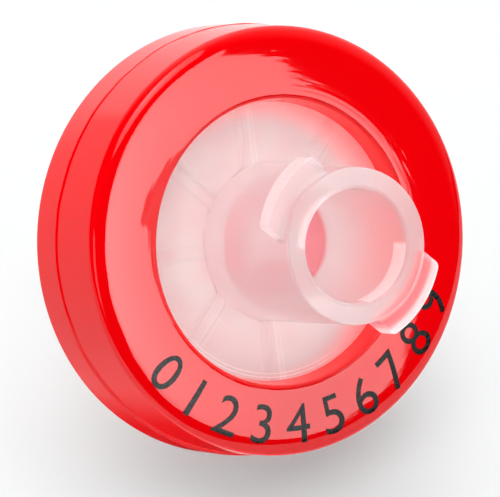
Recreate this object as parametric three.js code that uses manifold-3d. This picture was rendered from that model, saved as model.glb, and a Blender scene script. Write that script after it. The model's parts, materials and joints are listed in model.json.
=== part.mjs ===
// Disc syringe filter: two clear moulded housings clamp a membrane, and a ring moulded over their
// rims holds them together. The inlet is a female luer lock, the outlet a male luer slip cone. Each
// housing is made as a plate and, standing on it, a hub or nozzle, so that collision stays open in
// the socket and the bore.
// Millimetres. The filter lies as it comes to rest on a bench: on the ring's edge and the outlet's
// tip, with the inlet facing up and forwards (-Y).
import * as THREE from "three";
import { mergeVertices } from "three/addons/utils/BufferGeometryUtils.js";
import Module from "manifold-3d";

const wasm = await Module();
wasm.setup();

// ---- driving dimensions ---------------------------------------------------------------------

const SEGMENTS = 72; // sides of every turned shape
const FIT = 0.03; // gap left between pieces that touch

// membrane
const MEMBRANE_D = 13;
const MEMBRANE_T = 0.2;

// plates of the two housings, on each side of the membrane
const PLATE_T = 0.95;
const RIB_H = 0.4;
const RIB_W = 0.4;
const RIB_START_R = 1.35;
const SHORT_RIB_START_R = 3.3;
const RIB_COUNT = 8;
const SEAL_W = 0.5; // ring of the plate that presses on the membrane's edge
const FLANGE_MARGIN = 0.1; // how far the inlet's flange passes the membrane
const RIM_WALL = 0.45; // the outlet's rim, round the inlet's flange
const RIM_REACH = 0.5; // how far that rim passes the membrane

// inlet: female luer lock
const LUER_TAPER = 0.06; // on the diameter
const SOCKET_MOUTH_D = 4.3;
const SOCKET_DEPTH = 5.89;
const HUB_HEIGHT = 6.44;
const HUB_WALL = 0.8;
const HUB_DRAFT = 0.7; // degrees
const HUB_FOOT_R = 0.1;
const MOUTH_EDGE = 0.05;
const PORT_D = 2;
const LUG_ACROSS = 7.66;
const LUG_W = 3.3;
const LUG_BELOW_MOUTH = 0.27;
const LUG_T = 0.72; // half way along
const LUG_LEAD = 2.6; // rise of the thread under the lugs in one turn
const LUG_CORNER_R = 0.25;

// outlet: male luer slip
const NOZZLE_LENGTH = 10.6;
const NOZZLE_TIP_D = 3.96;
const NOZZLE_BORE_D = 1.8;
const NOZZLE_FOOT_R = 0.4;
const TIP_EDGE = 0.15;

// overmoulded ring
const RING_WALL = 1.15; // outside the housings, at the parting line
const RING_LIP_T = 0.92; // over each plate
const LIP_OVERLAP = 1.29; // how far the lip covers the inlet's flange
const RING_DRAFT = 1.6; // degrees, on the side
const PARTING_FROM_MIDDLE = 0.42; // the parting line lies this far on the outlet's side
const WINDOW_DRAFT = 8; // degrees
const WINDOW_EDGE_R = 0.12;
const FACE_TILT = 3; // degrees, the faces fall away outwards
const SHOULDER_R = 1.6; // gentle rounding of the face
const SHOULDER_TILT = 25; // degrees, where the gentle rounding meets the tight one
const EDGE_R = 0.3; // tight rounding into the side

const LUG_AZIMUTH = 122.5; // degrees, turn of the lugs and ribs from +X about the filter's axis

// ---- stations on the axis (z, from the membrane's middle) and radii ---------------------------

const rad = THREE.MathUtils.degToRad;
const slope = LUER_TAPER / 2;

const landZ = MEMBRANE_T / 2 + FIT;
const plateInnerZ = landZ + RIB_H;
const plateOuterZ = plateInnerZ + PLATE_T;
const lipZ = plateOuterZ + FIT;
const footZ = plateOuterZ + FIT; // the hub and the nozzle stand on their plates
const faceZ = lipZ + RING_LIP_T;
const mouthZ = plateOuterZ + HUB_HEIGHT;
const tipZ = plateOuterZ + NOZZLE_LENGTH; // on the outlet's side

const membraneR = MEMBRANE_D / 2;
const chamberR = membraneR - SEAL_W;
const flangeR = membraneR + FLANGE_MARGIN;
const rimInnerR = flangeR + FIT;
const rimOuterR = rimInnerR + RIM_WALL;
const grooveR = rimOuterR + FIT;
const ringR = grooveR + RING_WALL;
const windowFootR = flangeR - LIP_OVERLAP;
const socketR = SOCKET_MOUTH_D / 2;
const hubR = socketR + HUB_WALL;
const portR = PORT_D / 2;
const boreR = NOZZLE_BORE_D / 2;
const tipR = NOZZLE_TIP_D / 2;

// ---- solids ----------------------------------------------------------------------------------

function solidOf(geometry) {
  geometry.deleteAttribute("normal");
  geometry.deleteAttribute("uv");
  const merged = mergeVertices(geometry.index ? geometry.toNonIndexed() : geometry, 1e-4);
  return new wasm.Manifold(
    new wasm.Mesh({
      numProp: 3,
      vertProperties: new Float32Array(merged.attributes.position.array),
      triVerts: new Uint32Array(merged.index.array),
    }),
  );
}

function meshOf(name, solid, material) {
  const { numProp, vertProperties, triVerts } = solid.getMesh();
  const position = new Float32Array((vertProperties.length / numProp) * 3);
  for (let i = 0; i * numProp < vertProperties.length; i++) {
    position.set(vertProperties.subarray(i * numProp, i * numProp + 3), i * 3);
  }
  const geometry = new THREE.BufferGeometry();
  geometry.setAttribute("position", new THREE.BufferAttribute(position, 3));
  geometry.setIndex(new THREE.BufferAttribute(triVerts, 1));
  const flat = geometry.toNonIndexed();
  flat.computeVertexNormals();
  const mesh = new THREE.Mesh(flat, material);
  mesh.name = name;
  return mesh;
}

// A closed outline of [r, z] points, anticlockwise, turned about Z.
function turned(outline) {
  const closed = [...outline, outline[0]].map(([r, z]) => new THREE.Vector2(r, z));
  return solidOf(new THREE.LatheGeometry(closed, SEGMENTS).rotateX(Math.PI / 2));
}

// Points of an arc about [r, z], from one angle to another, in degrees from the outward direction.
function arc(r, z, radius, from, to, steps) {
  const points = [];
  for (let i = 0; i <= steps; i++) {
    const angle = rad(from + ((to - from) * i) / steps);
    points.push([r + radius * Math.cos(angle), z + radius * Math.sin(angle)]);
  }
  return points;
}

const joined = (solid, parts) => parts.reduce((sum, part) => sum.add(part), solid);

// Straight ribs that stand on a plate's inner face, from startR to the seal.
function ribs(startR, count, phase) {
  const sunk = 0.15; // into the plate and the seal, so that the solids join
  const length = chamberR + sunk - startR;
  const height = RIB_H + sunk;
  const made = [];
  for (let i = 0; i < count; i++) {
    const rib = new THREE.BoxGeometry(length, RIB_W, height);
    rib.translate(startR + length / 2, 0, landZ + height / 2);
    rib.rotateZ((2 * Math.PI * i) / count + phase);
    made.push(solidOf(rib));
  }
  return made;
}

// One thread lug, out along +X: straight sides, a round end, and an underside that rises as a
// right-hand thread does. Its root is buried in the hub's wall.
function lug() {
  const outerR = LUG_ACROSS / 2;
  const rootX = Math.sqrt((hubR - HUB_WALL / 2) ** 2 - (LUG_W / 2) ** 2);
  const cornerY = LUG_W / 2 - LUG_CORNER_R;
  const cornerX = Math.sqrt((outerR - LUG_CORNER_R) ** 2 - cornerY ** 2);
  const cornerAngle = Math.atan2(cornerY, cornerX);
  const outline = new THREE.Shape();
  outline.moveTo(rootX, -LUG_W / 2);
  outline.absarc(cornerX, -cornerY, LUG_CORNER_R, -Math.PI / 2, -cornerAngle, false);
  outline.absarc(0, 0, outerR, -cornerAngle, cornerAngle, false);
  outline.absarc(cornerX, cornerY, LUG_CORNER_R, cornerAngle, Math.PI / 2, false);
  outline.lineTo(rootX, LUG_W / 2);
  const top = mouthZ - LUG_BELOW_MOUTH;
  const geometry = new THREE.ExtrudeGeometry(outline, { depth: 1, bevelEnabled: false, curveSegments: 5 });
  const position = geometry.attributes.position;
  for (let i = 0; i < position.count; i++) {
    const turn = Math.atan2(position.getY(i), position.getX(i)) / (2 * Math.PI);
    const under = top - LUG_T + LUG_LEAD * turn;
    position.setZ(i, position.getZ(i) > 0.5 ? top : under);
  }
  return geometry;
}

// What the luer socket takes out round the port, from its floor up past the mouth. It cuts the plate
// too wherever the socket is deeper than the hub.
function socketHollow() {
  const past = 1;
  const socketFloorZ = mouthZ - SOCKET_DEPTH;
  return turned([
    [portR / 2, socketFloorZ],
    [socketR - SOCKET_DEPTH * slope, socketFloorZ],
    [socketR, mouthZ - MOUTH_EDGE],
    [socketR + MOUTH_EDGE, mouthZ],
    [socketR + MOUTH_EDGE, mouthZ + past],
    [portR / 2, mouthZ + past],
  ]);
}

function inletPlate() {
  const plate = turned([
    [portR, plateInnerZ],
    [chamberR, plateInnerZ],
    [chamberR, landZ],
    [flangeR, landZ],
    [flangeR, plateOuterZ],
    [portR, plateOuterZ],
  ]);
  return joined(plate, ribs(RIB_START_R, RIB_COUNT, 0)).subtract(socketHollow());
}

function inletHub() {
  const hubFootR = hubR + HUB_HEIGHT * Math.tan(rad(HUB_DRAFT));
  const hub = turned([
    [portR, footZ],
    ...arc(hubFootR + HUB_FOOT_R, footZ + HUB_FOOT_R, HUB_FOOT_R, 270, 180, 3),
    [hubR, mouthZ - MOUTH_EDGE],
    [hubR - MOUTH_EDGE, mouthZ],
    [portR, mouthZ],
  ]);
  const lugs = [0, Math.PI].map((turn) => solidOf(lug().rotateZ(turn)));
  return joined(hub, lugs).subtract(socketHollow());
}

function outletPlate() {
  const plate = turned([
    [boreR, plateInnerZ],
    [chamberR, plateInnerZ],
    [chamberR, landZ],
    [rimInnerR, landZ],
    [rimInnerR, -RIM_REACH],
    [rimOuterR, -RIM_REACH],
    [rimOuterR, plateOuterZ],
    [boreR, plateOuterZ],
  ]);
  const halfStep = Math.PI / RIB_COUNT;
  return joined(plate, [
    ...ribs(RIB_START_R, RIB_COUNT, 0),
    ...ribs(SHORT_RIB_START_R, RIB_COUNT, halfStep),
  ]);
}

// Outline of the outlet's nozzle, with +Z towards the outlet.
function nozzleOutline() {
  const nozzleFootR = tipR + NOZZLE_LENGTH * slope;
  return [
    [boreR, footZ],
    ...arc(nozzleFootR + NOZZLE_FOOT_R, footZ + NOZZLE_FOOT_R, NOZZLE_FOOT_R, 270, 180, 4),
    [tipR + TIP_EDGE * slope, tipZ - TIP_EDGE],
    [tipR - TIP_EDGE, tipZ],
    [boreR, tipZ],
  ];
}

// One face of the ring, from the window's foot out to the side: window wall, window edge, a face
// that falls away gently, and a shoulder that tightens into the side. z is above the middle.
function ringFace(sideR) {
  const wallTopR = windowFootR + RING_LIP_T * Math.tan(rad(WINDOW_DRAFT));
  const edgeCentreR = wallTopR + WINDOW_EDGE_R;
  const sideTilt = 90 - RING_DRAFT;
  const cut = (radius, from, to) => radius * (Math.sin(rad(to)) - Math.sin(rad(from)));
  const faceEndR = sideR - cut(EDGE_R, SHOULDER_TILT, sideTilt) - cut(SHOULDER_R, FACE_TILT, SHOULDER_TILT);
  const faceStartR = edgeCentreR + WINDOW_EDGE_R * Math.sin(rad(FACE_TILT));
  const faceEndZ = faceZ - (faceEndR - faceStartR) * Math.tan(rad(FACE_TILT));
  const shoulderR = faceEndR - SHOULDER_R * Math.sin(rad(FACE_TILT));
  const shoulderZ = faceEndZ - SHOULDER_R * Math.cos(rad(FACE_TILT));
  const inset = SHOULDER_R - EDGE_R;
  const edgeR = shoulderR + inset * Math.sin(rad(SHOULDER_TILT));
  const edgeZ = shoulderZ + inset * Math.cos(rad(SHOULDER_TILT));
  return [
    [windowFootR, lipZ],
    ...arc(edgeCentreR, faceZ - WINDOW_EDGE_R, WINDOW_EDGE_R, 180 - WINDOW_DRAFT, 90 - FACE_TILT, 3),
    ...arc(shoulderR, shoulderZ, SHOULDER_R, 90 - FACE_TILT, 90 - SHOULDER_TILT, 4),
    ...arc(edgeR, edgeZ, EDGE_R, 90 - SHOULDER_TILT, RING_DRAFT, 5).slice(1),
  ];
}

function ringOutline() {
  const draft = Math.tan(rad(RING_DRAFT));
  const sideTop = faceZ / 2; // where the shoulders' radii are taken, on each side of the middle
  const front = ringFace(ringR - (sideTop + PARTING_FROM_MIDDLE) * draft);
  const back = ringFace(ringR - (sideTop - PARTING_FROM_MIDDLE) * draft);
  const stepZ = RIM_REACH + FIT; // over the outlet's rim
  return [
    [rimInnerR, lipZ],
    [rimInnerR, stepZ],
    [grooveR, stepZ],
    [grooveR, -lipZ],
    ...back.map(([r, z]) => [r, -z]),
    [ringR, -PARTING_FROM_MIDDLE],
    ...front.reverse(),
  ];
}

// ---- the filter, axis along +Z, inlet up -------------------------------------------------------

const clear = { color: 0xf2dede, roughness: 0.3, metalness: 0, transparent: true, opacity: 0.6 };
const clearPlastic = new THREE.MeshStandardMaterial(clear);
const redPlastic = new THREE.MeshStandardMaterial({ color: 0xe0100f, roughness: 0.2, metalness: 0 });
const membraneWhite = new THREE.MeshStandardMaterial({ color: 0xf8f6f4, roughness: 0.9, metalness: 0 });

const disc = new THREE.CylinderGeometry(membraneR, membraneR, MEMBRANE_T, SEGMENTS).rotateX(Math.PI / 2);
const outlet = new THREE.Group();
outlet.add(meshOf("outlet_plate", outletPlate(), clearPlastic));
outlet.add(meshOf("outlet_nozzle", turned(nozzleOutline()), clearPlastic));
outlet.rotation.x = Math.PI;

const filter = new THREE.Group();
filter.add(meshOf("inlet_plate", inletPlate(), clearPlastic));
filter.add(meshOf("inlet_hub", inletHub(), clearPlastic));
filter.add(outlet);
filter.add(meshOf("membrane", solidOf(disc), membraneWhite));
filter.add(meshOf("overmould_ring", turned(ringOutline()), redPlastic));
filter.rotation.z = rad(LUG_AZIMUTH);

// ---- rest: on the ring's edge and the outlet's tip ---------------------------------------------

// Height of an outline's lowest point when the axis leans up from level by an angle. A flat side of
// the turned shapes is underneath.
function lowest(outline, lean) {
  const flat = Math.cos(Math.PI / SEGMENTS);
  const heights = outline.map(([r, z]) => z * Math.sin(lean) - r * flat * Math.cos(lean));
  return Math.min(...heights);
}

// The lean at which the ring and the outlet touch the bench together.
function restLean() {
  const ring = ringOutline();
  const nozzle = nozzleOutline().map(([r, z]) => [r, -z]);
  let low = 0;
  let high = Math.PI / 2;
  while (high - low > 1e-9) {
    const lean = (low + high) / 2;
    if (lowest(ring, lean) < lowest(nozzle, lean)) low = lean;
    else high = lean;
  }
  return low;
}

const leaning = new THREE.Group();
leaning.add(filter);
leaning.rotation.x = Math.PI / 2 - restLean();

const bench = new THREE.Group();
bench.add(leaning);
const size = new THREE.Box3().setFromObject(bench, true);
const middle = size.getCenter(new THREE.Vector3());
leaning.position.set(-middle.x, -middle.y, -size.min.z);

export default bench;
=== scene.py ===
"""Looks of a disc syringe filter: two clear housings, the membrane between them, and the red ring
moulded round their rims. Outlines are in millimetres in the filter's own frame, whose origin is the
membrane's middle and whose Z runs along the axis towards the inlet."""
import json
import math

import bmesh
import bpy
import numpy as np
from mathutils import Matrix, Vector


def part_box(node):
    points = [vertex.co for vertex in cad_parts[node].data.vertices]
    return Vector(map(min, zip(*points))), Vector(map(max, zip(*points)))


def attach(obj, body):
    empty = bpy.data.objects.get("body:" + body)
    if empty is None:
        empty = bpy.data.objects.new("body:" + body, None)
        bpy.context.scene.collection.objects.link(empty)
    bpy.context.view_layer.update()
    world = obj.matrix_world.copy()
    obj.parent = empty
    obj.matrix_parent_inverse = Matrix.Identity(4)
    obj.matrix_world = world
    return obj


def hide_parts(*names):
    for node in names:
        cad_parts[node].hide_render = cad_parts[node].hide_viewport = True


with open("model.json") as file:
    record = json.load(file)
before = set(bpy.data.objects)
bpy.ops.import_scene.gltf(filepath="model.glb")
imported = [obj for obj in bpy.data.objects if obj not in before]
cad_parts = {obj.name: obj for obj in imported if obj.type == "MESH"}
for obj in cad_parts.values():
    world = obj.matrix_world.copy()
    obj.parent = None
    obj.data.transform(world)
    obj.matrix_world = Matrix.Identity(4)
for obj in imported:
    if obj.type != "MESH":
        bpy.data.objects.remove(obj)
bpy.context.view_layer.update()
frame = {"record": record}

MM = 0.001

# ---- where the filter lies --------------------------------------------------------------------

mounts = {mount["name"]: mount for mount in frame["record"]["mounts"]}
AXIS = Vector(mounts["inlet_mouth_face"]["axis"]).normalized()  # from the outlet to the inlet
ACROSS = Vector((1, 0, 0))  # the filter leans about this line
UPWARDS = AXIS.cross(ACROSS)
membrane_low, membrane_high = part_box("membrane")
MIDDLE = (membrane_low + membrane_high) / 2
FILTER_FRAME = Matrix((ACROSS, UPWARDS, AXIS)).transposed().to_4x4()
FILTER_FRAME.translation = MIDDLE


def station(mount):
    """How far a mount's face is from the membrane's middle, in millimetres along the axis."""
    return (Vector(mounts[mount]["pos_m"]) - MIDDLE).dot(AXIS) / MM


def from_filter(azimuth, elevation):
    """Direction towards a place round the filter, by the compass of the views, in degrees."""
    a, e = math.radians(azimuth), math.radians(elevation)
    return Vector((math.sin(a) * math.cos(e), -math.cos(a) * math.cos(e), math.sin(e)))


# ---- sizes, in millimetres --------------------------------------------------------------------

FIT = 0.03  # gap left between pieces that touch
MEMBRANE_T = 0.2
MEMBRANE_R = 6.5

PLATE_T = 0.95
RIB_H = 0.4
RIB_W = 0.4
RIB_FLANK = 0.11  # width of a rib's rounded flank
RIB_START_R = 1.35
SHORT_RIB_START_R = 3.3
RIB_COUNT = 8
SEAL_W = 0.5
FLANGE_MARGIN = 0.1
RIM_WALL = 0.45
RIM_REACH = 0.5
LUER_SLOPE = 0.03  # on the radius
MOULD_EDGE = 0.06  # rounding of the housings' outer edges

SOCKET_MOUTH_R = 2.15
SOCKET_DEPTH = 5.89
HUB_WALL = 0.8
MOUTH_CHAMFER = 0.13
HUB_DRAFT = 0.7  # degrees
HUB_FOOT_R = 0.1
PORT_R = 1.0
LUG_R = 3.83
LUG_W = 3.3
LUG_BELOW_MOUTH = 0.27
LUG_T = 0.72
LUG_LEAD = 2.6
LUG_CORNER_R = 0.25
LUG_EDGE_R = 0.07
LUG_ROOT_R = 0.08
LUG_AZIMUTH = math.radians(122.5)
LOWER_SIDE = math.radians(-118)  # angle about the axis at which the rim is lowest in the view

NOZZLE_BORE_R = 0.9
NOZZLE_FOOT_R = 0.4
NOZZLE_TIP_R = 1.98
TIP_EDGE = 0.15

RING_WALL = 1.15
RING_LIP_T = 0.92
LIP_OVERLAP = 1.29
RING_DRAFT = 1.6  # degrees
PARTING_Z = -0.42
WINDOW_DRAFT = 8  # degrees
WINDOW_EDGE_R = 0.2
FACE_TILT = 6  # degrees, at the foot of the crowned face
SHOULDER_R = 1.6
SHOULDER_TILT = 25  # degrees
EDGE_R = 0.3
FLASH_H = 0.03  # fine bead along the parting line
FLASH_W = 0.05
HALVES_STEP = 0.08  # the front half of the mould is out of line with the back half by this much

LAND_Z = MEMBRANE_T / 2 + FIT
PLATE_INNER_Z = LAND_Z + RIB_H
PLATE_OUTER_Z = PLATE_INNER_Z + PLATE_T
LIP_Z = PLATE_OUTER_Z + FIT
FACE_Z = LIP_Z + RING_LIP_T
MOUTH_Z = station("inlet_mouth_face")
TIP_Z = -station("outlet_tip_face")  # on the outlet's side

CHAMBER_R = MEMBRANE_R - SEAL_W
FLANGE_R = MEMBRANE_R + FLANGE_MARGIN
RIM_INNER_R = FLANGE_R + FIT
RIM_OUTER_R = RIM_INNER_R + RIM_WALL
GROOVE_R = RIM_OUTER_R + FIT
RING_R = GROOVE_R + RING_WALL
WINDOW_FOOT_R = FLANGE_R - LIP_OVERLAP
HUB_R = SOCKET_MOUTH_R + HUB_WALL
HUB_FOOT_OUTER_R = HUB_R + (MOUTH_Z - PLATE_OUTER_Z) * math.tan(math.radians(HUB_DRAFT))

TURN_STEPS = 384  # samples about the axis; a multiple of 16 ribs and of 4 quarters
EVEN_TURN = np.linspace(0, 2 * math.pi, TURN_STEPS, endpoint=False)


# ---- outlines ---------------------------------------------------------------------------------

def arc(r, z, radius, start, end, steps):
    """Points of an arc about (r, z), from one angle to another, in degrees from the outward direction."""
    angles = np.radians(np.linspace(start, end, steps + 1))
    return [(r + radius * math.cos(a), z + radius * math.sin(a)) for a in angles]


def refined(outline, longest, closed=True):
    """An outline with its long stretches cut up."""
    ends = outline[1:] + outline[:1] if closed else outline[1:]
    points = []
    for a, b in zip(outline, ends):
        steps = max(1, math.ceil(math.dist(a, b) / longest))
        points += [tuple(np.array(a) + (np.array(b) - a) * i / steps) for i in range(steps)]
    return points if closed else points + [outline[-1]]


def eased(share):
    """0 to 1 with level ends."""
    share = np.clip(share, 0, 1)
    return share * share * (3 - 2 * share)


# ---- meshes -----------------------------------------------------------------------------------

def finished(name, mesh):
    """An object from a mesh in the filter's frame, whose vertices are in millimetres."""
    mesh.transform(FILTER_FRAME @ Matrix.Scale(MM, 4))
    mesh.validate()
    made = bpy.data.objects.new(name, mesh)
    bpy.context.scene.collection.objects.link(made)
    return made


def wrapped_faces(rows, columns):
    """Faces of a grid that closes on itself both ways, for an anticlockwise outline turned about Z."""
    index = np.arange(rows * columns).reshape(rows, columns)
    following = np.roll(index, -1, axis=0)
    faces = [index, np.roll(index, -1, axis=1), np.roll(following, -1, axis=1), following]
    return np.stack(faces, -1).reshape(-1, 4).tolist()


def turned_mesh(name, radius, height, angle, sharp_angle=35, facing=1):
    """A closed outline turned about the axis. Radius, height and angle are given for every point of
    the outline and every sample about the axis. With facing -1 it is turned over, to the outlet's side."""
    radius, height, angle = np.broadcast_arrays(radius, height, angle)
    turned = facing * angle + LUG_AZIMUTH
    points = [radius * np.cos(turned), radius * np.sin(turned), facing * height]
    mesh = bpy.data.meshes.new(name)
    mesh.from_pydata(np.stack(points, -1).reshape(-1, 3).tolist(), [], wrapped_faces(*radius.shape))
    mesh.shade_smooth()
    mesh.set_sharp_from_angle(angle=math.radians(sharp_angle))
    return finished(name, mesh)


def waves(angle, counts, seed):
    """A smooth irregular function of the angle about the axis, at most 1, that closes on itself."""
    rng = np.random.default_rng(seed)
    total = np.zeros_like(angle)
    for count in counts:
        total += rng.normal() * np.cos(count * angle + rng.uniform(0, 2 * math.pi)) / math.sqrt(count)
    return total / np.abs(total).max()


# ---- the ring ---------------------------------------------------------------------------------

def ring_face(side_r):
    """One face of the ring, level at the window and falling away in a shallow crown to the side; z is
    above the middle."""
    edge_r = WINDOW_FOOT_R + RING_LIP_T * math.tan(math.radians(WINDOW_DRAFT)) + WINDOW_EDGE_R
    tilt, shoulder_tilt = math.radians(FACE_TILT), math.radians(SHOULDER_TILT)
    tight = EDGE_R * (math.cos(math.radians(RING_DRAFT)) - math.sin(shoulder_tilt))
    gentle = SHOULDER_R * (math.sin(shoulder_tilt) - math.sin(tilt))
    face_end_r = side_r - tight - gentle
    crown = (face_end_r - edge_r) / math.sin(tilt)
    shoulder_r = face_end_r - SHOULDER_R * math.sin(tilt)
    shoulder_z = FACE_Z - crown + (crown - SHOULDER_R) * math.cos(tilt)
    turn_r = shoulder_r + (SHOULDER_R - EDGE_R) * math.sin(shoulder_tilt)
    turn_z = shoulder_z + (SHOULDER_R - EDGE_R) * math.cos(shoulder_tilt)
    return [
        (WINDOW_FOOT_R, LIP_Z),
        *arc(edge_r, FACE_Z - WINDOW_EDGE_R, WINDOW_EDGE_R, 180 - WINDOW_DRAFT, 90, 8),
        *arc(edge_r, FACE_Z - crown, crown, 90, 90 - FACE_TILT, 16)[1:],
        *arc(shoulder_r, shoulder_z, SHOULDER_R, 90 - FACE_TILT, 90 - SHOULDER_TILT, 12)[1:],
        *arc(turn_r, turn_z, EDGE_R, 90 - SHOULDER_TILT, RING_DRAFT, 12)[1:],
    ]


def front_face():
    """The ring's face on the inlet's side."""
    return ring_face(RING_R - (FACE_Z / 2 - PARTING_Z) * math.tan(math.radians(RING_DRAFT)))


def back_face():
    """The ring's face on the outlet's side, with z above the middle."""
    return ring_face(RING_R - (FACE_Z / 2 + PARTING_Z) * math.tan(math.radians(RING_DRAFT)))


FLASH_EVEN = 0.45  # share of the bead's height that does not vary
FLASH_VARIES = 0.55
BEAD_SPREAD = 0.6  # of the bead's width
WANDER = 0.05  # most that the parting line strays
WANDER_REACH = 0.6  # above and below the line
STEP_AZIMUTH = 95  # degrees about the axis, where one half stands out most
STEP_START = 1.2  # inwards from the side
STEP_SPAN = 0.8


def make_ring():
    step_z = RIM_REACH + FIT
    parting = [(RING_R, PARTING_Z + share * FLASH_W) for share in (-2, -1, -0.5, 0, 0.5, 1, 2)]
    outline = refined([
        (RIM_INNER_R, LIP_Z),
        (RIM_INNER_R, step_z),
        (GROOVE_R, step_z),
        (GROOVE_R, -LIP_Z),
        *[(r, -z) for r, z in back_face()],
        *parting,
        *reversed(front_face()),
    ], longest=0.16)
    r, z = (np.repeat(column[:, None], TURN_STEPS, 1) for column in np.array(outline).T)
    # the bead along the parting line comes and goes, and the line wanders a little
    bead = np.exp(-(((z - PARTING_Z) / (BEAD_SPREAD * FLASH_W)) ** 2)) * (r > RING_R - 0.1)
    bead_height = FLASH_H * (FLASH_EVEN + FLASH_VARIES * waves(EVEN_TURN, range(2, 60, 3), seed=3))
    near = (r > RING_R - 0.3) * np.clip(1 - np.abs(z - PARTING_Z) / WANDER_REACH, 0, 1)
    wander = WANDER * waves(EVEN_TURN, range(3, 40, 4), seed=5)
    front_half = eased((z - PARTING_Z) / (2 * FLASH_W) + 0.5)
    front_half = front_half * eased((r - RING_R + STEP_START) / STEP_SPAN)
    step = HALVES_STEP * (0.5 + 0.5 * np.cos(EVEN_TURN - math.radians(STEP_AZIMUTH)))
    side_r = r + bead * bead_height - front_half * step
    return turned_mesh("ring", side_r, z + near * wander, EVEN_TURN[None])


# ---- the housings -----------------------------------------------------------------------------

def rib_angles(radius, starts):
    """Angles about the axis whose lines run along the ribs' tops and flanks, for every radius, and
    the ribs' height at each as a share. A rib starts at the radius given for it."""
    per_rib = TURN_STEPS // len(starts)
    top, flank = per_rib // 6, per_rib // 12
    half = RIB_W / 2
    offsets = np.linspace(0, half, top, endpoint=False).tolist()
    offsets += np.linspace(half, half + RIB_FLANK, flank + 1).tolist()
    share = np.concatenate([np.ones(top), 1 - eased(np.linspace(0, 1, flank + 1))])
    gap_steps = per_rib - 2 * (top + flank)
    pitch = 2 * math.pi / len(starts)
    angles, heights = [], []
    for i, start in enumerate(starts):
        after = starts[(i + 1) % len(starts)]
        reach = np.maximum(radius, start)[:, None]
        rising = np.arcsin(np.array(offsets)[None] / reach)
        next_reach = np.maximum(radius, after)[:, None]
        falling = pitch - np.arcsin(np.array(offsets[:0:-1])[None] / next_reach)
        between = np.linspace(0, 1, gap_steps + 1)[1:-1]
        gap = rising[:, -1:] + (falling[:, :1] - rising[:, -1:]) * between[None]
        angles.append(i * pitch + np.concatenate([rising, gap, falling], 1))
        rib = eased((radius[:, None] - start) / 0.12) * share[None]
        rib_after = eased((radius[:, None] - after) / 0.12) * share[None, :0:-1]
        heights.append(np.concatenate([rib, np.zeros((len(radius), gap_steps - 1)), rib_after], 1))
    return np.concatenate(angles, 1), np.concatenate(heights, 1)


def inner_face(port_r, starts):
    """The ribbed inner face of a plate, from its port out to the seal's land: radius, height, angle."""
    wall = 0.05  # half the width of the chamber's sloping wall
    edge = 0.05  # rounding of the port
    radius = np.concatenate([
        port_r + edge * np.array([0.0, 0.3, 1.0]),
        np.linspace(port_r + 0.15, RIB_START_R, 3),
        RIB_START_R + np.array([0.04, 0.08, 0.12]),
        np.linspace(RIB_START_R + 0.25, SHORT_RIB_START_R, 8),
        SHORT_RIB_START_R + np.array([0.04, 0.08, 0.12]),
        np.linspace(SHORT_RIB_START_R + 0.35, CHAMBER_R - 2.5 * wall, 8),
        CHAMBER_R + wall * np.array([-1.2, -0.8, -0.4, 0.0, 0.4, 0.8, 1.2]),
    ])
    angle, rib = rib_angles(radius, starts)
    step = eased((radius - CHAMBER_R) / (2 * wall) + 0.5)[:, None]
    port = edge * np.array([1.0, 0.3] + [0.0] * (len(radius) - 2))[:, None]
    return radius, PLATE_INNER_Z - RIB_H * np.maximum(rib, step) + port, angle


def lug_plan():
    """The hub's outer wall in plan, taken through the lugs: radius and angle of each sample."""
    half_w = LUG_W / 2
    corner_y = half_w - LUG_CORNER_R
    corner_x = math.sqrt((LUG_R - LUG_CORNER_R) ** 2 - corner_y**2)
    corner_turn = math.atan2(corner_y, corner_x)
    root_y = half_w + LUG_ROOT_R
    root_x = math.sqrt((HUB_R + LUG_ROOT_R) ** 2 - root_y**2)
    root_turn = math.atan2(root_y, root_x)
    end = [(LUG_R * math.cos(a), LUG_R * math.sin(a)) for a in np.linspace(0, corner_turn, 24)]
    corner = arc(corner_x, corner_y, LUG_CORNER_R, math.degrees(corner_turn), 90, 9)
    side = [(x, half_w) for x in np.linspace(corner_x, root_x, 9)]
    root = arc(root_x, root_y, LUG_ROOT_R, -90, math.degrees(root_turn) - 180, 7)
    quarter = end + corner[1:] + side[1:] + root[1:]
    rest = np.linspace(root_turn, math.pi / 2, TURN_STEPS // 4 + 2 - len(quarter))[1:]
    quarter = np.array(quarter + [(HUB_R * math.cos(a), HUB_R * math.sin(a)) for a in rest])
    half = np.concatenate([quarter, (quarter * [-1, 1])[-2:0:-1]])
    x, y = np.concatenate([half, -half]).T
    return np.hypot(x, y), np.unwrap(np.arctan2(y, x))


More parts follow.
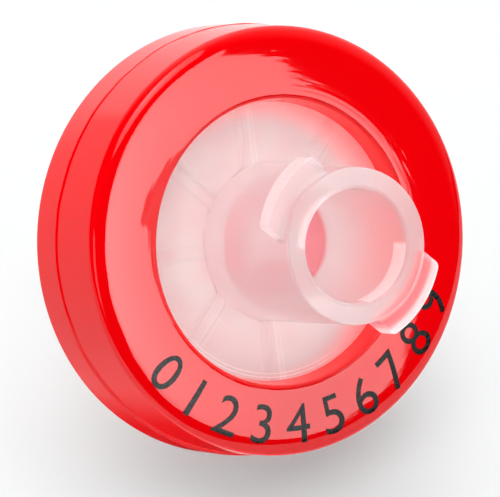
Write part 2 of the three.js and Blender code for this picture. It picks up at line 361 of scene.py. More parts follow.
def lug_rows():
    """The hub's wall from just under the lugs to just over them: radius, height and angle."""
    plan_r, angle = lug_plan()
    reach = plan_r - HUB_R
    top = MOUTH_Z - LUG_BELOW_MOUTH
    from_middle = (angle + math.pi / 2) % math.pi - math.pi / 2  # of the nearer lug
    fade = 1 - eased((np.abs(from_middle) - 0.6) / 0.4)
    under = top - LUG_T + LUG_LEAD * from_middle / (2 * math.pi) * fade
    edge = np.minimum(LUG_EDGE_R, 0.45 * reach)
    root = np.minimum(LUG_ROOT_R, 0.45 * reach)
    quarter = np.linspace(0, math.pi / 2, 6)
    rows = []  # reach from the hub's wall, and height, of each row on the lug

    for a in quarter:
        rows.append((root * (1 - math.cos(a)), under - root * (1 - math.sin(a))))
    for share in (0.25, 0.5, 0.75):
        rows.append((root + (reach - edge - root) * share, under))
    for a in quarter:
        rows.append((reach - edge * (1 - math.sin(a)), under + edge * (1 - math.cos(a))))
    for share in (0.33, 0.67):
        rows.append((reach, under + edge + (top - under - 2 * edge) * share))
    for a in quarter[::-1]:
        rows.append((reach - edge * (1 - math.sin(a)), top - edge * (1 - math.cos(a))))
    for share in (0.8, 0.6, 0.4, 0.2):
        rows.append((root + (reach - edge - root) * share, top + 0 * reach))
    for a in quarter[::-1]:
        rows.append((root * (1 - math.cos(a)), top + root * (1 - math.sin(a))))

    out, height = (np.array(column) for column in zip(*rows))
    steps = np.linspace(0, 1, len(rows))[:, None]
    plain = (under - LUG_ROOT_R) * (1 - steps) + (top + LUG_ROOT_R) * steps
    on_lug = eased(reach / 0.25)[None]
    height = plain + (height - plain) * on_lug
    wall_r = HUB_R + (MOUTH_Z - height) * math.tan(math.radians(HUB_DRAFT))
    return np.maximum(wall_r, HUB_R + out), height, angle


def stacked(*parts):
    """Rows of radius, height and angle, one part of an outline after another."""
    shaped = [np.broadcast_arrays(*(np.atleast_2d(a) for a in part)) for part in parts]
    return [np.concatenate(column) for column in zip(*shaped)]


def rows_of(outline, start_angle, end_angle):
    """A stretch of outline whose samples shift from one set of angles to another along it."""
    r, z = np.array(outline).T
    share = eased(np.linspace(0, 1, len(outline)))[:, None]
    return r[:, None], z[:, None], start_angle[None] * (1 - share) + end_angle[None] * share


def make_inlet():
    starts = [RIB_START_R] * RIB_COUNT
    radius, height, rib_angle = inner_face(PORT_R, starts)
    lug_r, lug_z, lug_angle = lug_rows()
    edge = MOULD_EDGE
    foot_r = HUB_FOOT_OUTER_R
    flange = refined([
        (CHAMBER_R + 0.15, LAND_Z),
        *arc(FLANGE_R - edge, LAND_Z + edge, edge, 270, 360, 4),
        *arc(FLANGE_R - edge, PLATE_OUTER_Z - edge, edge, 0, 90, 4),
        (foot_r + HUB_FOOT_R + 0.05, PLATE_OUTER_Z),
    ], longest=0.3, closed=False)
    below_lugs = lug_z[0].min() - 0.15
    tan_draft = math.tan(math.radians(HUB_DRAFT))
    hub = refined([
        *arc(foot_r + HUB_FOOT_R, PLATE_OUTER_Z + HUB_FOOT_R, HUB_FOOT_R, 270, 180, 6),
        (HUB_R + (MOUTH_Z - below_lugs) * tan_draft, below_lugs),
    ], longest=0.3, closed=False)
    mouth = refined([
        *arc(HUB_R - edge, MOUTH_Z - edge, edge, 0, 90, 5),
        (SOCKET_MOUTH_R + MOUTH_CHAMFER, MOUTH_Z),
        (SOCKET_MOUTH_R, MOUTH_Z - MOUTH_CHAMFER),
    ], 0.2, closed=False)
    floor_z = MOUTH_Z - SOCKET_DEPTH
    floor_r = SOCKET_MOUTH_R - SOCKET_DEPTH * LUER_SLOPE
    socket = refined([
        (SOCKET_MOUTH_R - 0.3 * LUER_SLOPE, MOUTH_Z - 0.3),
        *arc(floor_r - edge, floor_z + edge, edge, 0, -90, 4),
        *arc(PORT_R + edge, floor_z - edge, edge, 90, 180, 4),
        (PORT_R, PLATE_INNER_Z + 0.15),
    ], 0.25, closed=False)
    parts = stacked(
        (radius[:, None], height, rib_angle),
        rows_of(flange, rib_angle[-1], EVEN_TURN),
        rows_of(hub, EVEN_TURN, lug_angle),
        (lug_r, lug_z, lug_angle[None]),
        rows_of(mouth, lug_angle, lug_angle),
        rows_of(socket, lug_angle, rib_angle[0]),
    )
    return turned_mesh("inlet_moulding", *parts)


def make_outlet():
    starts = [RIB_START_R, SHORT_RIB_START_R] * RIB_COUNT
    radius, height, rib_angle = inner_face(NOZZLE_BORE_R, starts)
    edge = MOULD_EDGE
    foot_r = NOZZLE_TIP_R + (TIP_Z - PLATE_OUTER_Z) * LUER_SLOPE
    tip = TIP_EDGE
    rim = refined([
        (CHAMBER_R + 0.15, LAND_Z),
        (RIM_INNER_R, LAND_Z),
        (RIM_INNER_R, -RIM_REACH + edge),
        *arc(RIM_INNER_R + edge, -RIM_REACH + edge, edge, 180, 270, 4),
        *arc(RIM_OUTER_R - edge, -RIM_REACH + edge, edge, 270, 360, 4),
        *arc(RIM_OUTER_R - edge, PLATE_OUTER_Z - edge, edge, 0, 90, 4),
        (foot_r + NOZZLE_FOOT_R + 0.05, PLATE_OUTER_Z),
    ], longest=0.3, closed=False)
    nozzle = refined([
        *arc(foot_r + NOZZLE_FOOT_R, PLATE_OUTER_Z + NOZZLE_FOOT_R, NOZZLE_FOOT_R, 270, 180, 10),
        *arc(NOZZLE_TIP_R + tip * LUER_SLOPE - tip, TIP_Z - tip, tip, 0, 90, 7),
        *arc(NOZZLE_BORE_R + edge, TIP_Z - edge, edge, 90, 180, 5),
        (NOZZLE_BORE_R, PLATE_INNER_Z + 0.15),
    ], longest=0.35, closed=False)
    parts = stacked(
        (radius[:, None], height, rib_angle),
        rows_of(rim, rib_angle[-1], EVEN_TURN),
        rows_of(nozzle, EVEN_TURN, rib_angle[0]),
    )
    return turned_mesh("outlet_moulding", *parts, facing=-1)


def make_membrane():
    half = MEMBRANE_T / 2
    edge = 0.04
    outline = refined([
        (0.02, -half),
        *arc(MEMBRANE_R - edge, -half + edge, edge, 270, 360, 3),
        *arc(MEMBRANE_R - edge, half - edge, edge, 0, 90, 3),
        (0.02, half),
    ], longest=0.35)
    r, z = np.array(outline).T
    return turned_mesh("membrane_disc", r[:, None], z[:, None], EVEN_TURN[None])


# ---- printed numbers --------------------------------------------------------------------------

NUMBERS = "0123456789"
NUMBER_H = 1.5
NUMBER_W = 0.95
NUMBER_BASE_R = 7.7
FIRST_NUMBER = -157.0  # degrees about the axis
NUMBER_STEP = 12.9
INK_T = 0.012
INK_CUT = 0.12  # the ink follows the face in steps this long


def face_height(radius):
    """Height of the ring's front face at a radius."""
    r, z = np.array(front_face()[8:]).T
    return np.interp(radius, r, z)


def number_mesh(symbol):
    """A flat number 1 high with its lower middle at the origin, cut fine enough to bend."""
    curve = bpy.data.curves.new("number", "FONT")
    curve.body = symbol
    curve.align_x = "CENTER"
    curve.resolution_u = 6
    text = bpy.data.objects.new("number", curve)
    bpy.context.scene.collection.objects.link(text)
    bpy.context.view_layer.update()
    flat = bmesh.new()
    flat.from_mesh(text.to_mesh())
    bpy.data.objects.remove(text)
    bmesh.ops.remove_doubles(flat, verts=flat.verts, dist=1e-5)
    ys = [v.co.y for v in flat.verts]
    xs = [v.co.x for v in flat.verts]
    scale = NUMBER_H / (max(ys) - min(ys))
    middle = (max(xs) + min(xs)) / 2
    for v in flat.verts:
        v.co = Vector(((v.co.x - middle) * scale, (v.co.y - min(ys)) * scale, 0))
    for normal, span in (((1, 0, 0), NUMBER_W), ((0, 1, 0), NUMBER_H)):
        for i in range(-int(span / INK_CUT), int(span / INK_CUT) + 1):
            cut = Vector(normal) * i * INK_CUT
            everything = flat.verts[:] + flat.edges[:] + flat.faces[:]
            bmesh.ops.bisect_plane(flat, geom=everything, plane_co=cut, plane_no=normal)
    return flat


def make_numbers():
    """The numbers, read anticlockwise round the face with their feet outwards, as one mesh."""
    whole = bmesh.new()
    for i, symbol in enumerate(NUMBERS):
        flat = number_mesh(symbol)
        raised = bmesh.ops.extrude_face_region(flat, geom=flat.faces[:])["geom"]
        top = {v for v in raised if isinstance(v, bmesh.types.BMVert)}
        turn = math.radians(FIRST_NUMBER + i * NUMBER_STEP)
        for v in flat.verts:
            radius = NUMBER_BASE_R - v.co.y
            angle = turn + v.co.x / (NUMBER_BASE_R - NUMBER_H / 2)
            height = face_height(radius) + (INK_T if v in top else -INK_T)
            v.co = Vector((radius * math.cos(angle), radius * math.sin(angle), height))
        bmesh.ops.recalc_face_normals(flat, faces=flat.faces[:])
        part = bpy.data.meshes.new("part")
        flat.to_mesh(part)
        whole.from_mesh(part)
        flat.free()
        bpy.data.meshes.remove(part)
    mesh = bpy.data.meshes.new("printed_numbers")
    whole.to_mesh(mesh)
    whole.free()
    return finished("printed_numbers", mesh)


# ---- materials --------------------------------------------------------------------------------

class Signal:
    """An output of a shader node. Arithmetic on it adds Math nodes."""

    def __init__(self, nodes, output):
        self.nodes = nodes
        self.output = output

    def __add__(self, other):
        return self.nodes.maths("ADD", self, other)

    def __radd__(self, other):
        return self.nodes.maths("ADD", other, self)

    def __sub__(self, other):
        return self.nodes.maths("SUBTRACT", self, other)

    def __rsub__(self, other):
        return self.nodes.maths("SUBTRACT", other, self)

    def __mul__(self, other):
        return self.nodes.maths("MULTIPLY", self, other)

    def __rmul__(self, other):
        return self.nodes.maths("MULTIPLY", other, self)

    def __truediv__(self, other):
        return self.nodes.maths("DIVIDE", self, other)

    def __pow__(self, other):
        return self.nodes.maths("POWER", self, other)

    def __abs__(self):
        return self.nodes.maths("ABSOLUTE", self)


class Nodes:
    """The nodes of the world or of a material."""

    def __init__(self, tree):
        self.tree = tree

    def node(self, kind, settings=None, inputs=None, output=0):
        """Adds a node: its settings first, then the values or links of its sockets."""
        made = self.tree.nodes.new("ShaderNode" + kind)
        for setting, value in (settings or {}).items():
            setattr(made, setting, value)
        for socket, value in (inputs or {}).items():
            self.set(made.inputs[socket], value)
        return Signal(self, made.outputs[output])

    def set(self, socket, value):
        """Gives a socket a value, or links it."""
        if isinstance(value, Signal):
            self.tree.links.new(value.output, socket)
        else:
            socket.default_value = value

    def maths(self, operation, *values):
        return self.node("Math", {"operation": operation}, dict(enumerate(values)))

    def vector_maths(self, operation, *values):
        """Vector Math whose result is a plain value."""
        return self.node("VectorMath", {"operation": operation}, dict(enumerate(values)), "Value")

    def larger(self, first, second):
        return self.maths("MAXIMUM", first, second)

    def spread(self, value, low, high, to_low=0.0, to_high=1.0):
        """A value's range from low to high stretched over another range, with soft ends."""
        return self.node("MapRange", {"interpolation_type": "SMOOTHSTEP"}, {
            "Value": value, "From Min": low, "From Max": high, "To Min": to_low, "To Max": to_high})

    def fade(self, value, low, high):
        """1 where a value is under low, 0 where it is over high."""
        return self.spread(value, low, high, 1.0, 0.0)

    def noise(self, vector, scale, detail=3, roughness=0.5):
        return self.node("TexNoise", inputs={
            "Vector": vector, "Scale": scale, "Detail": detail, "Roughness": roughness})

    def lines(self, radius, per_mm):
        """Noise that varies only with the radius, as concentric lines do."""
        return self.noise(self.joined(radius * per_mm), scale=1.0, detail=2)

    def joined(self, *values):
        """A vector or a colour from up to three values."""
        return self.node("CombineXYZ", inputs=dict(enumerate(values)))

    def grey(self, level):
        return self.joined(level, level, level)

    def part(self, vector, letter):
        """The x, y or z of a vector."""
        return self.node("SeparateXYZ", inputs={0: vector}, output=letter)

    def blend(self, share, first, second):
        """A colour from first to second by share."""
        return self.node("Mix", {"data_type": "RGBA"}, {0: share, 6: first, 7: second}, 2)


class Finish(Nodes):
    """A material of one Principled shader, whose plain values are set by name."""

    def __init__(self, name, **values):
        self.material = bpy.data.materials.new(name)
        self.material.use_nodes = True
        super().__init__(self.material.node_tree)
        self.surface = self.tree.nodes["Principled BSDF"]
        for socket, value in values.items():
            self.feed(socket.replace("_", " "), value)

    def feed(self, socket, value):
        self.set(self.surface.inputs[socket], value)

    def where(self):
        """Coordinates on a piece, in metres."""
        return self.node("TexCoord", output="Object")

    def place(self):
        """Coordinates in the filter's frame, in millimetres."""
        return self.node("Mapping", {"vector_type": "TEXTURE"}, {
            "Vector": self.where(), "Location": MIDDLE, "Rotation": FILTER_FRAME.to_euler(),
            "Scale": (MM, MM, MM)})

    def normal(self):
        return self.node("NewGeometry", output="Normal")

    def relief(self, height):
        """Feeds the normal with a bump whose height is in millimetres."""
        bump = self.node("Bump", inputs={"Height": height, "Distance": MM, "Strength": 1.0})
        self.feed("Normal", bump)


def from_axis(x, y):
    return (x * x + y * y) ** 0.5


def towards(x, y, angle):
    """How far a place is from the axis in the direction of an angle about it."""
    return x * math.cos(angle) + y * math.sin(angle)


BLACK = (0, 0, 0, 1)
WHITE = (1.0, 1.0, 1.0, 1)

RED_SHADES = (0.795, 0.0, 0.002, 1), (0.835, 0.0, 0.002, 1)
RED_ROUGHNESS = 0.03
RED_MOTTLE = 0.02  # most that the mottle adds to the roughness
PAINTED_WINDOW_WALL_GLOW = (0.34, 0.005, 0.005, 1)  # painted glow: emission in place of light scattered in the plastic round the window
PAINTED_UNDERSIDE_GLOW = (0.34, 0.0, 0.002, 1)  # painted glow where the side faces down, in place of light scattered in the plastic
STREAK_H = 0.0005  # relief, in millimetres
PATCH_STREAK_H = 0.003
MOTTLE_H = 0.0003
LINE_H = 0.004


def red_plastic():
    """Red polypropylene with the fine turned lines of its mould, which come and go in patches."""
    shader = Finish("red_polypropylene", IOR=1.49, Emission_Strength=1.0)
    vector = shader.place()
    x, y = (shader.part(vector, letter) for letter in "XY")
    radius = from_axis(x, y)
    streaks = shader.noise(shader.joined(radius * 7, x / radius * 6, y / radius * 6), scale=1.0, detail=1)
    patches = shader.spread(shader.noise(vector, scale=0.3, detail=2), 0.45, 0.6)
    mottle = shader.noise(vector, scale=1.5)
    in_window = shader.fade(radius, WINDOW_FOOT_R + 0.12, WINDOW_FOOT_R + 0.22)
    by_window = shader.fade(radius, WINDOW_FOOT_R + 0.5, WINDOW_FOOT_R + 0.8)
    on_side = shader.spread(radius, RING_R - 0.5, RING_R - 0.15)
    under_side = on_side * shader.fade(shader.part(shader.normal(), "Z"), -0.7, 0.0)
    # painted glow: emission on the window's wall and where the side faces down
    painted_glow = shader.blend(under_side, BLACK, PAINTED_UNDERSIDE_GLOW)
    shader.feed("Base Color", shader.blend(mottle, *RED_SHADES))
    shader.feed("Emission Color", shader.blend(in_window, painted_glow, PAINTED_WINDOW_WALL_GLOW))
    shader.feed("Roughness", RED_ROUGHNESS + mottle * RED_MOTTLE)
    streak_relief = streaks * (STREAK_H + patches * PATCH_STREAK_H)
    line_relief = shader.lines(radius, 8) * by_window * LINE_H
    shader.relief(streak_relief + mottle * MOTTLE_H + line_relief)
    return shader.material


CLEAR_IOR = 1.22
CLEAR_SHARE = 0.84  # of the light that goes through
# painted highlight colour for the edges that catch the light
PAINTED_HIGHLIGHT_WHITE = (1.0, 0.98, 0.98, 1)
# painted red light in a band along the near lug's root
LUG_BAND_RED_LIGHT = (1.0, 0.35, 0.42, 1)
LUG_BAND_RED_LIGHT_DEPTH = 0.8
RIB_GLOW = 0.05
RIB_GLINT = 0.12
LUG_GLINT = 0.13
ARC_GLOW = 0.1
ARC_GLINT = 0.2
SOCKET_GLINT = 0.25
PLATE_ROUGHNESS = 0.10
TUBE_ROUGHNESS = 0.24  # added on the hub and the nozzle
GRAIN_ROUGHNESS = 0.02
VEIL = 0.78
EDGE_VEIL = 0.16
FLOOR_VEIL = 0.2
FLANK_VEIL = 0.5  # taken off on the ribs' flanks
GRAIN_H = 0.0003  # relief, in millimetres
LUG_GRAIN_H = 0.012
ARC_INSET = 0.2  # from the window's foot to the middle of the two fine arcs
ARC_HALF_GAP = 0.07
ROOT_LINE = 0.12  # from the hub's wall to the line along a lug's root
LIT_FROM = from_filter(-60, 30)  # where the light that the ribs' flanks catch comes from


class ClearPlastic(Finish):
    """Natural polypropylene: a milky veil over what shows through it, with the ring's red light painted
    in as pink, pinker down by the ring. Side is 1 on the inlet's side and -1 on the outlet's, and heights
    are above the middle."""

    def __init__(self, name, side, top_z, bore_r, floor_z):
        super().__init__(name, IOR=CLEAR_IOR, Transmission_Weight=CLEAR_SHARE, Specular_IOR_Level=1.0,
                         Emission_Strength=1.0)
        self.vector = self.place()
        x, y, z = (self.part(self.vector, letter) for letter in "XYZ")
        self.height = z * side
        self.radius = from_axis(x, y)
        self.top_z = top_z
        self.lower = self.spread(towards(x, y, LOWER_SIDE) / self.radius, 0.55, 0.95)
        self.lengthways = towards(x, y, LUG_AZIMUTH)  # over the lugs, from the near one to the far one
        self.across = abs(y * math.cos(LUG_AZIMUTH) - x * math.sin(LUG_AZIMUTH))
        self.cloud = self.spread(self.noise(self.vector, scale=0.7), 0.35, 0.65)
        self.grain = self.noise(self.vector, scale=9, detail=4, roughness=0.7)
        self.speckle = self.spread(self.noise(self.vector, scale=20, detail=2, roughness=0.6), 0.4, 0.6)
        self.on_tube = self.spread(self.height, PLATE_OUTER_Z - 0.02, PLATE_OUTER_Z + 0.3)
        self.in_bore = self.on_tube * self.fade(self.radius, bore_r, bore_r + 0.06)
        self.on_floor = self.in_bore * self.fade(self.height, floor_z, floor_z + 0.5)
        self.on_lug = self.on_tube * self.spread(self.radius, HUB_R + 0.15, HUB_R + 0.3)
        self.lug_edge = self.on_lug * self.larger(
            self.spread(self.radius, LUG_R - 0.14, LUG_R - 0.06),
            self.spread(self.across, LUG_W / 2 - 0.12, LUG_W / 2 - 0.05))
        # a white band painted into the bore in line with the lugs, in place of their refraction
        in_line = self.fade(self.across / abs(self.lengthways), 0.75, 0.85)
        self.by_lug = self.in_bore * in_line * self.spread(self.height, top_z - 0.95, top_z - 0.85)
        on_mouth = self.spread(self.height, top_z - 0.12, top_z - 0.04)
        # painted highlights: whiter and more opaque
        self.painted_highlight_parts = self.larger(self.larger(self.lug_edge, on_mouth), self.by_lug)
        along_axis = abs(self.vector_maths("DOT_PRODUCT", self.normal(), AXIS))
        on_ribs = self.fade(self.height, PLATE_INNER_Z, PLATE_INNER_Z + 0.1)
        self.flank = self.fade(along_axis, 0.4, 0.9) * on_ribs

    def painted_light_colour(self, plate_painted_red_light, tube_painted_red_light, floor_painted_red_light):
        """Base colour with painted light: the ring's red light as pink, paler up the tube, painted
        highlights in white on the edges that catch the light, and a band of painted red light along the
        near lug's root.
        """
        up_tube = self.spread(self.height, PLATE_OUTER_Z, self.top_z)
        # painted red light from the ring, pinker at the tube's foot
        tube_painted_red = self.blend(up_tube + (self.cloud - 0.5) * 0.4, *tube_painted_red_light)
        # painted red light in a band along the near lug's root
        band_start = self.spread(self.radius, HUB_R + 0.12, HUB_R + 0.25)
        painted_red_band = band_start * self.fade(self.radius, HUB_R + 0.42, HUB_R + 0.6)
        painted_red_band = painted_red_band * self.on_tube * self.fade(self.lengthways, -1.0, 0.0)
        painted_light_colour = self.blend(self.cloud, *plate_painted_red_light)
        painted_light_colour = self.blend(self.on_tube, painted_light_colour, tube_painted_red)
        painted_light_colour = self.blend(self.in_bore, painted_light_colour, WHITE)
        painted_light_colour = self.blend(self.on_floor, painted_light_colour, floor_painted_red_light)
        painted_light_colour = self.blend(self.painted_highlight_parts, painted_light_colour, PAINTED_HIGHLIGHT_WHITE)
        return self.blend(painted_red_band * LUG_BAND_RED_LIGHT_DEPTH, painted_light_colour, LUG_BAND_RED_LIGHT)

    def rib_shine(self):
        lit = self.spread(self.vector_maths("DOT_PRODUCT", self.normal(), LIT_FROM), 0.75, 0.9)
        return self.flank * (RIB_GLOW + lit * RIB_GLINT)

    def lug_shine(self):
        """Speckled light on the near lug and along its root, and a little on the far one."""
        lug_top = self.top_z - LUG_BELOW_MOUTH
        out_on_lug = self.spread(self.radius, HUB_R + 0.4, HUB_R + 0.6) * (0.2 + self.speckle)
        by_root = self.fade(abs(self.radius - HUB_R - ROOT_LINE), 0.03, 0.08)
        by_root = by_root * self.spread(self.across, LUG_W / 2, LUG_W / 2 - 0.1)
        by_root = by_root * self.spread(self.height, lug_top - 0.1, lug_top)
        on_near_lug = self.spread(self.lengthways, -1.0, 0.0, 1.0, 0.2)
        return on_near_lug * self.larger(self.on_lug * self.larger(out_on_lug, self.lug_edge), by_root)

    def arc_shine(self):
        """Painted highlights: two fine arcs on the plate, by the window's lowest side."""
        off_arcs = abs(abs(self.radius - WINDOW_FOOT_R + ARC_INSET) - ARC_HALF_GAP)
        arcs = self.fade(off_arcs, 0.008, 0.035) * self.lower * (1 - self.on_tube)
        arcs = arcs * self.spread(self.height, PLATE_OUTER_Z - 0.1, PLATE_OUTER_Z - 0.03)
        return arcs * (ARC_GLOW + self.speckle * ARC_GLINT)

    def finish(self, plate_painted_red_light, tube_painted_red_light, floor_painted_red_light):
        shine = self.larger(self.rib_shine(), self.lug_shine() * LUG_GLINT)
        shine = self.larger(shine, self.arc_shine())
        veil = VEIL + self.larger(self.painted_highlight_parts * EDGE_VEIL, self.on_floor * FLOOR_VEIL)
        by_window = self.spread(self.radius, WINDOW_FOOT_R - 0.7, WINDOW_FOOT_R - 0.4) * (1 - self.on_tube)
        roughness = PLATE_ROUGHNESS + TUBE_ROUGHNESS * self.on_tube + self.grain * GRAIN_ROUGHNESS
        # base colour with the ring's red light and the highlights painted in
        self.feed("Base Color", self.painted_light_colour(plate_painted_red_light, tube_painted_red_light, floor_painted_red_light))
        # painted glints and glows: emission in place of highlights on the ribs' flanks, the lugs, the arcs
        # and the bore
        self.feed("Emission Color", self.grey(self.larger(shine, self.by_lug * SOCKET_GLINT)))
        self.feed("Roughness", roughness)
        self.feed("Alpha", veil - self.flank * FLANK_VEIL)
        grain_relief = self.grain * (GRAIN_H + self.on_lug * LUG_GRAIN_H)
        self.relief(grain_relief + self.lines(self.radius, 9) * by_window * LINE_H)
        return self.material


FILM_SHADES = (0.97, 0.90, 0.90, 1), (1.0, 0.96, 0.96, 1)
# the ring's red light painted on the film where the ring covers it
PAINTED_RED_LIGHT_FILM = (1.0, 0.4, 0.4, 1)
PAINTED_RED_GLOW = (0.7, 0.04, 0.04, 1)
FILM_RELIEF = 0.01
LOWER_COVER = 0.6  # the painted red starts this much further out at the window's lowest side


def membrane_film():
    """White film, with the ring's red light painted in where the ring covers it, as colour and as a glow.
    """
    shader = Finish("membrane_film", Roughness=0.85, IOR=1.4, Emission_Strength=1.0)
    vector = shader.place()
    x, y = (shader.part(vector, letter) for letter in "XY")
    radius = from_axis(x, y)
    fibres = shader.noise(vector, scale=14, detail=5, roughness=0.65)
    lower = shader.spread(towards(x, y, LOWER_SIDE) / radius, 0.0, 0.9)
    # painted red light where the ring covers the film
    painted_red_share = shader.spread(radius - lower * LOWER_COVER, WINDOW_FOOT_R - 1.0, WINDOW_FOOT_R + 0.4)
    film = shader.blend(fibres, *FILM_SHADES)
    shader.feed("Base Color", shader.blend(painted_red_share, film, PAINTED_RED_LIGHT_FILM))
    shader.feed("Emission Color", shader.blend(painted_red_share, BLACK, PAINTED_RED_GLOW))
    shader.relief(fibres * FILM_RELIEF)
    return shader.material


INK_SHADES = (0.001, 0.001, 0.001, 1), (0.008, 0.006, 0.006, 1)
INK_ROUGHNESS = 0.15
INK_GRAIN_ROUGHNESS = 0.25
INK_RELIEF = 0.0008


def black_ink():
    """Printing ink, glossier in some grains than in others."""
    shader = Finish("black_ink", IOR=1.5, Specular_IOR_Level=0.24)
    grain = shader.spread(shader.noise(shader.place(), scale=9, roughness=0.7), 0.35, 0.65)
    shader.feed("Base Color", shader.blend(grain, *INK_SHADES))
    shader.feed("Roughness", INK_ROUGHNESS + grain * INK_GRAIN_ROUGHNESS)
    shader.relief(grain * INK_RELIEF)
    return shader.material


BENCH_SHADES = (0.642, 0.66, 0.66, 1), (0.652, 0.67, 0.67, 1)


def bench_white():
    shader = Finish("bench_white", Roughness=0.6, Specular_IOR_Level=0.0)
    cloud = shader.noise(shader.place(), scale=0.02, detail=2)
    shader.feed("Base Color", shader.blend(cloud, *BENCH_SHADES))
    return shader.material


# ---- the pieces -------------------------------------------------------------------------------

# the ring's red light painted into the clear plastic as pink, and the bore's floor painted red with it
INLET_PAINTED_RED_LIGHT = {
    "plate_painted_red_light": ((1.0, 0.82, 0.82, 1), (1.0, 0.93, 0.93, 1)),
    "tube_painted_red_light": ((1.0, 0.90, 0.91, 1), (1.0, 0.96, 0.97, 1)),
    "floor_painted_red_light": (1.0, 0.17, 0.21, 1),
}
OUTLET_PAINTED_RED_LIGHT = {
    "plate_painted_red_light": ((1.0, 0.92, 0.92, 1), (1.0, 0.95, 0.95, 1)),
    "tube_painted_red_light": ((1.0, 0.96, 0.96, 1), (1.0, 0.99, 0.99, 1)),
    "floor_painted_red_light": (1.0, 0.95, 0.95, 1),
}


def add_piece(piece, material, slot, *nodes):
    piece.data.materials.append(material)
    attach(piece, "root")
    if nodes:
        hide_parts(*nodes)


ring = make_ring()
ring.visible_diffuse = False  # its red stays off the bench
add_piece(ring, red_plastic(), "red_polypropylene", "overmould_ring")
inlet_plastic = ClearPlastic(
    "inlet_polypropylene", side=1, top_z=MOUTH_Z, bore_r=SOCKET_MOUTH_R, floor_z=MOUTH_Z - SOCKET_DEPTH)
outlet_plastic = ClearPlastic(
    "outlet_polypropylene", side=-1, top_z=TIP_Z, bore_r=NOZZLE_BORE_R, floor_z=PLATE_OUTER_Z)
add_piece(make_inlet(), inlet_plastic.finish(**INLET_PAINTED_RED_LIGHT),
          "inlet_clear_polypropylene", "inlet_hub", "inlet_plate")
add_piece(make_outlet(), outlet_plastic.finish(**OUTLET_PAINTED_RED_LIGHT),
          "outlet_clear_polypropylene", "outlet_nozzle", "outlet_plate")
membrane = make_membrane()
membrane.visible_diffuse = False
add_piece(membrane, membrane_film(), "membrane_film", "membrane")
add_piece(make_numbers(), black_ink(), "red_polypropylene")


# ---- bench, lights and camera -----------------------------------------------------------------

REFLECTION_SHEET_LIFT = 0.0001  # above the bench, in metres
BENCH_SHADE = 0.62
UNDER_FILTER = (9.8, 12.4)  # where a painted reflection sheet turns from its painted shadow to its own shade, from the middle in mm


def add_flat(name, x_span, y_span, height, material):
    """A level sheet that is part of the studio."""
    mesh = bpy.data.meshes.new(name)
    (x0, x1), (y0, y1) = x_span, y_span
    corners = [(x0, y0, height), (x1, y0, height), (x1, y1, height), (x0, y1, height)]
    mesh.from_pydata(corners, [], [(0, 1, 2, 3)])
    mesh.materials.append(material)
    made = bpy.data.objects.new(name, mesh)
    bpy.context.scene.collection.objects.link(made)
    return made


def add_painted_reflection(name, x_span, y_span, shade, near_shade):
    """A sheet of painted reflection laid on the bench, with painted shadow under the filter, and as pale
    as the bench far behind it on the right. Only what is glossy shows it."""
    painted_sheet = Finish(name, Roughness=1.0, Specular_IOR_Level=0.0)
    away = painted_sheet.vector_maths("LENGTH", painted_sheet.place())
    # painted shadow: dim under the filter
    level = painted_sheet.spread(away, *UNDER_FILTER, near_shade, shade)
    to_right = painted_sheet.spread(painted_sheet.part(painted_sheet.where(), "X"), -0.03, 0.002)
    pale = to_right * painted_sheet.spread(painted_sheet.part(painted_sheet.where(), "Y"), 0.02, 0.08)
    painted_sheet.feed("Base Color", painted_sheet.grey(level + pale * (BENCH_SHADE - level)))
    made = add_flat(name, x_span, y_span, REFLECTION_SHEET_LIFT, painted_sheet.material)
    made.visible_camera = made.visible_diffuse = made.visible_shadow = made.visible_transmission = False


SOFTBOX_DISTANCE = 0.6
FRONT_BOX = [
    (-0.34, -0.32), (-0.28, -0.36), (0.19, -0.365), (0.21, -0.33), (0.30, -0.33), (0.26, -0.04),
    (0.29, 0.04), (0.24, 0.14), (0.31, 0.35), (0.14, 0.35), (-0.04, 0.32), (-0.11, 0.26),
    (-0.18, 0.19), (-0.28, 0.0)]
HIGH_BOX = [
    (-0.31, -0.05), (-0.10, -0.11), (0.15, -0.13), (0.24, -0.10), (0.31, 0.05), (0.31, 0.30),
    (-0.31, 0.30)]
LEFT_BOX = [(-0.25, -0.22), (0.25, -0.22), (0.25, 0.22), (-0.25, 0.22)]


def add_softbox(name, azimuth, elevation, outline, radiance, dimmest, bright_spot, spread):
    """A softbox that faces the filter and shows in its gloss. Its outline is as the filter sees it, in
    radians right and up. Its radiance is what a mirror shows at the bright spot; away from there it
    dims to a share of that."""
    back = from_filter(azimuth, elevation)
    right = Vector((0, 0, 1)).cross(back).normalized()
    up = back.cross(right)
    middle = MIDDLE + back * SOFTBOX_DISTANCE

    def on_panel(u, v):
        return middle + (right * u + up * v) * SOFTBOX_DISTANCE

    mesh = bpy.data.meshes.new(name)
    corners = [on_panel(u, v) for u, v in outline]
    mesh.from_pydata(corners, [], [range(len(corners))])
    panel = Finish(name, Base_Color=BLACK, Specular_IOR_Level=0.0, Emission_Strength=radiance)
    away = panel.vector_maths("DISTANCE", panel.where(), on_panel(*bright_spot)) / SOFTBOX_DISTANCE
    panel.feed("Emission Color", panel.grey(panel.spread(away, 0.0, spread, 1.0, dimmest)))
    mesh.materials.append(panel.material)
    made = bpy.data.objects.new(name, mesh)
    bpy.context.scene.collection.objects.link(made)
    made.visible_camera = made.visible_diffuse = made.visible_transmission = made.visible_shadow = False


MATT_LIGHT = 0.93
VEILED_LIGHT = 1.42  # under the clear plastic
LEVEL_SHARE = 0.78  # of the even light, from level with the filter
HIGH_SHARE = 0.3  # added straight overhead
TOP_LIGHT = 3.0
SIDE_LIGHT = 0.25
PALE_LIGHT = 1.1  # what gloss sees behind the filter and on its right
TOP_FROM = from_filter(150, 75)
SIDE_FROM = from_filter(-126, 10)
PALE_FROM = from_filter(125, 15)


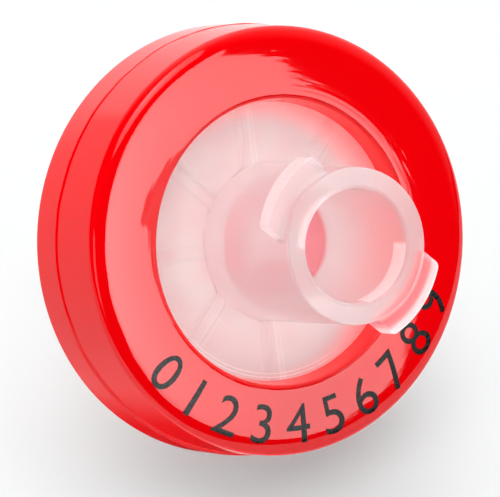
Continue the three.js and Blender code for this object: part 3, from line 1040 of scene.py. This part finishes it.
def add_world():
    """Light all round and from above for what is matt. Gloss sees a studio that is pale behind the
    filter and on its right, and dark in front."""
    world = bpy.data.worlds.new("studio")
    world.use_nodes = True
    nodes = Nodes(world.node_tree)
    direction = nodes.node("TexCoord", output="Generated")

    def facing(source):
        return nodes.vector_maths("DOT_PRODUCT", direction, source)

    camera, glossy, scattered, through = (
        nodes.node("LightPath", output=name)
        for name in ("Is Camera Ray", "Is Glossy Ray", "Diffuse Depth", "Transmission Depth"))
    veiled = nodes.maths("MINIMUM", through, 1)
    matt = nodes.maths("MINIMUM", 1 - glossy + scattered + through, 1)
    level = MATT_LIGHT + (VEILED_LIGHT - MATT_LIGHT) * veiled
    even = level * (LEVEL_SHARE + HIGH_SHARE * nodes.part(direction, "Z"))
    side = SIDE_LIGHT * nodes.larger(facing(SIDE_FROM), 0)
    top = (1 - veiled) * TOP_LIGHT * nodes.spread(facing(TOP_FROM), 0.8, 0.99)
    pale = PALE_LIGHT * nodes.spread(facing(PALE_FROM), 0.25, 0.95) * (1 - matt)
    background = world.node_tree.nodes["Background"]
    nodes.set(background.inputs["Color"], WHITE)
    nodes.set(background.inputs["Strength"], nodes.larger(pale + matt * (even + side + top), camera))
    bpy.context.scene.world = world


VIEW_AZIMUTH = -35.691
VIEW_ELEVATION = 39.683
VIEW_DISTANCE = 0.3
VIEW_LENS = 569.7
VIEW_RIGHT = -1.2743  # the view's middle, from the middle of the ring's window, in millimetres
VIEW_UP = -0.2493


def add_camera():
    camera = bpy.data.cameras.new("camera")
    camera.sensor_width = 36
    camera.lens = VIEW_LENS
    camera.clip_start, camera.clip_end = 0.01, 10
    made = bpy.data.objects.new("camera", camera)
    back = from_filter(VIEW_AZIMUTH, VIEW_ELEVATION)
    right = Vector((0, 0, 1)).cross(back).normalized()
    up = back.cross(right)
    window = MIDDLE + AXIS * FACE_Z * MM
    aim = window + (right * VIEW_RIGHT + up * VIEW_UP) * MM
    made.location = aim + back * VIEW_DISTANCE
    made.rotation_mode = "QUATERNION"
    made.rotation_quaternion = back.to_track_quat("Z", "Y")
    bpy.context.scene.collection.objects.link(made)
    bpy.context.scene.camera = made


add_flat("bench", (-1.5, 1.5), (-1.5, 1.5), 0.0, bench_white())
# painted dark reflection in front of the filter
add_painted_reflection("painted_dark_reflection", (-1.0, 1.0), (-1.0, -0.026), shade=0.005, near_shade=0.005)
# painted reflection of a dimmer bench behind and left of the filter, with painted shadow under it
add_painted_reflection("painted_bench_shade_reflection", (-1.0, 0.004), (-0.004, 1.0), shade=0.4, near_shade=0.03)
add_world()
add_softbox("front_softbox", 16, 23, FRONT_BOX, radiance=6.8, dimmest=0.58, bright_spot=(-0.06, 0.02),
            spread=0.36)
add_softbox("high_softbox", 16, 60, HIGH_BOX, radiance=5.0, dimmest=0.4, bright_spot=(0.0, 0.1),
            spread=0.25)
add_softbox("left_softbox", -52, 26, LEFT_BOX, radiance=1.5, dimmest=0.7, bright_spot=(0.0, 0.0),
            spread=0.4)
add_camera()
bpy.context.scene.view_settings.view_transform = "Standard"
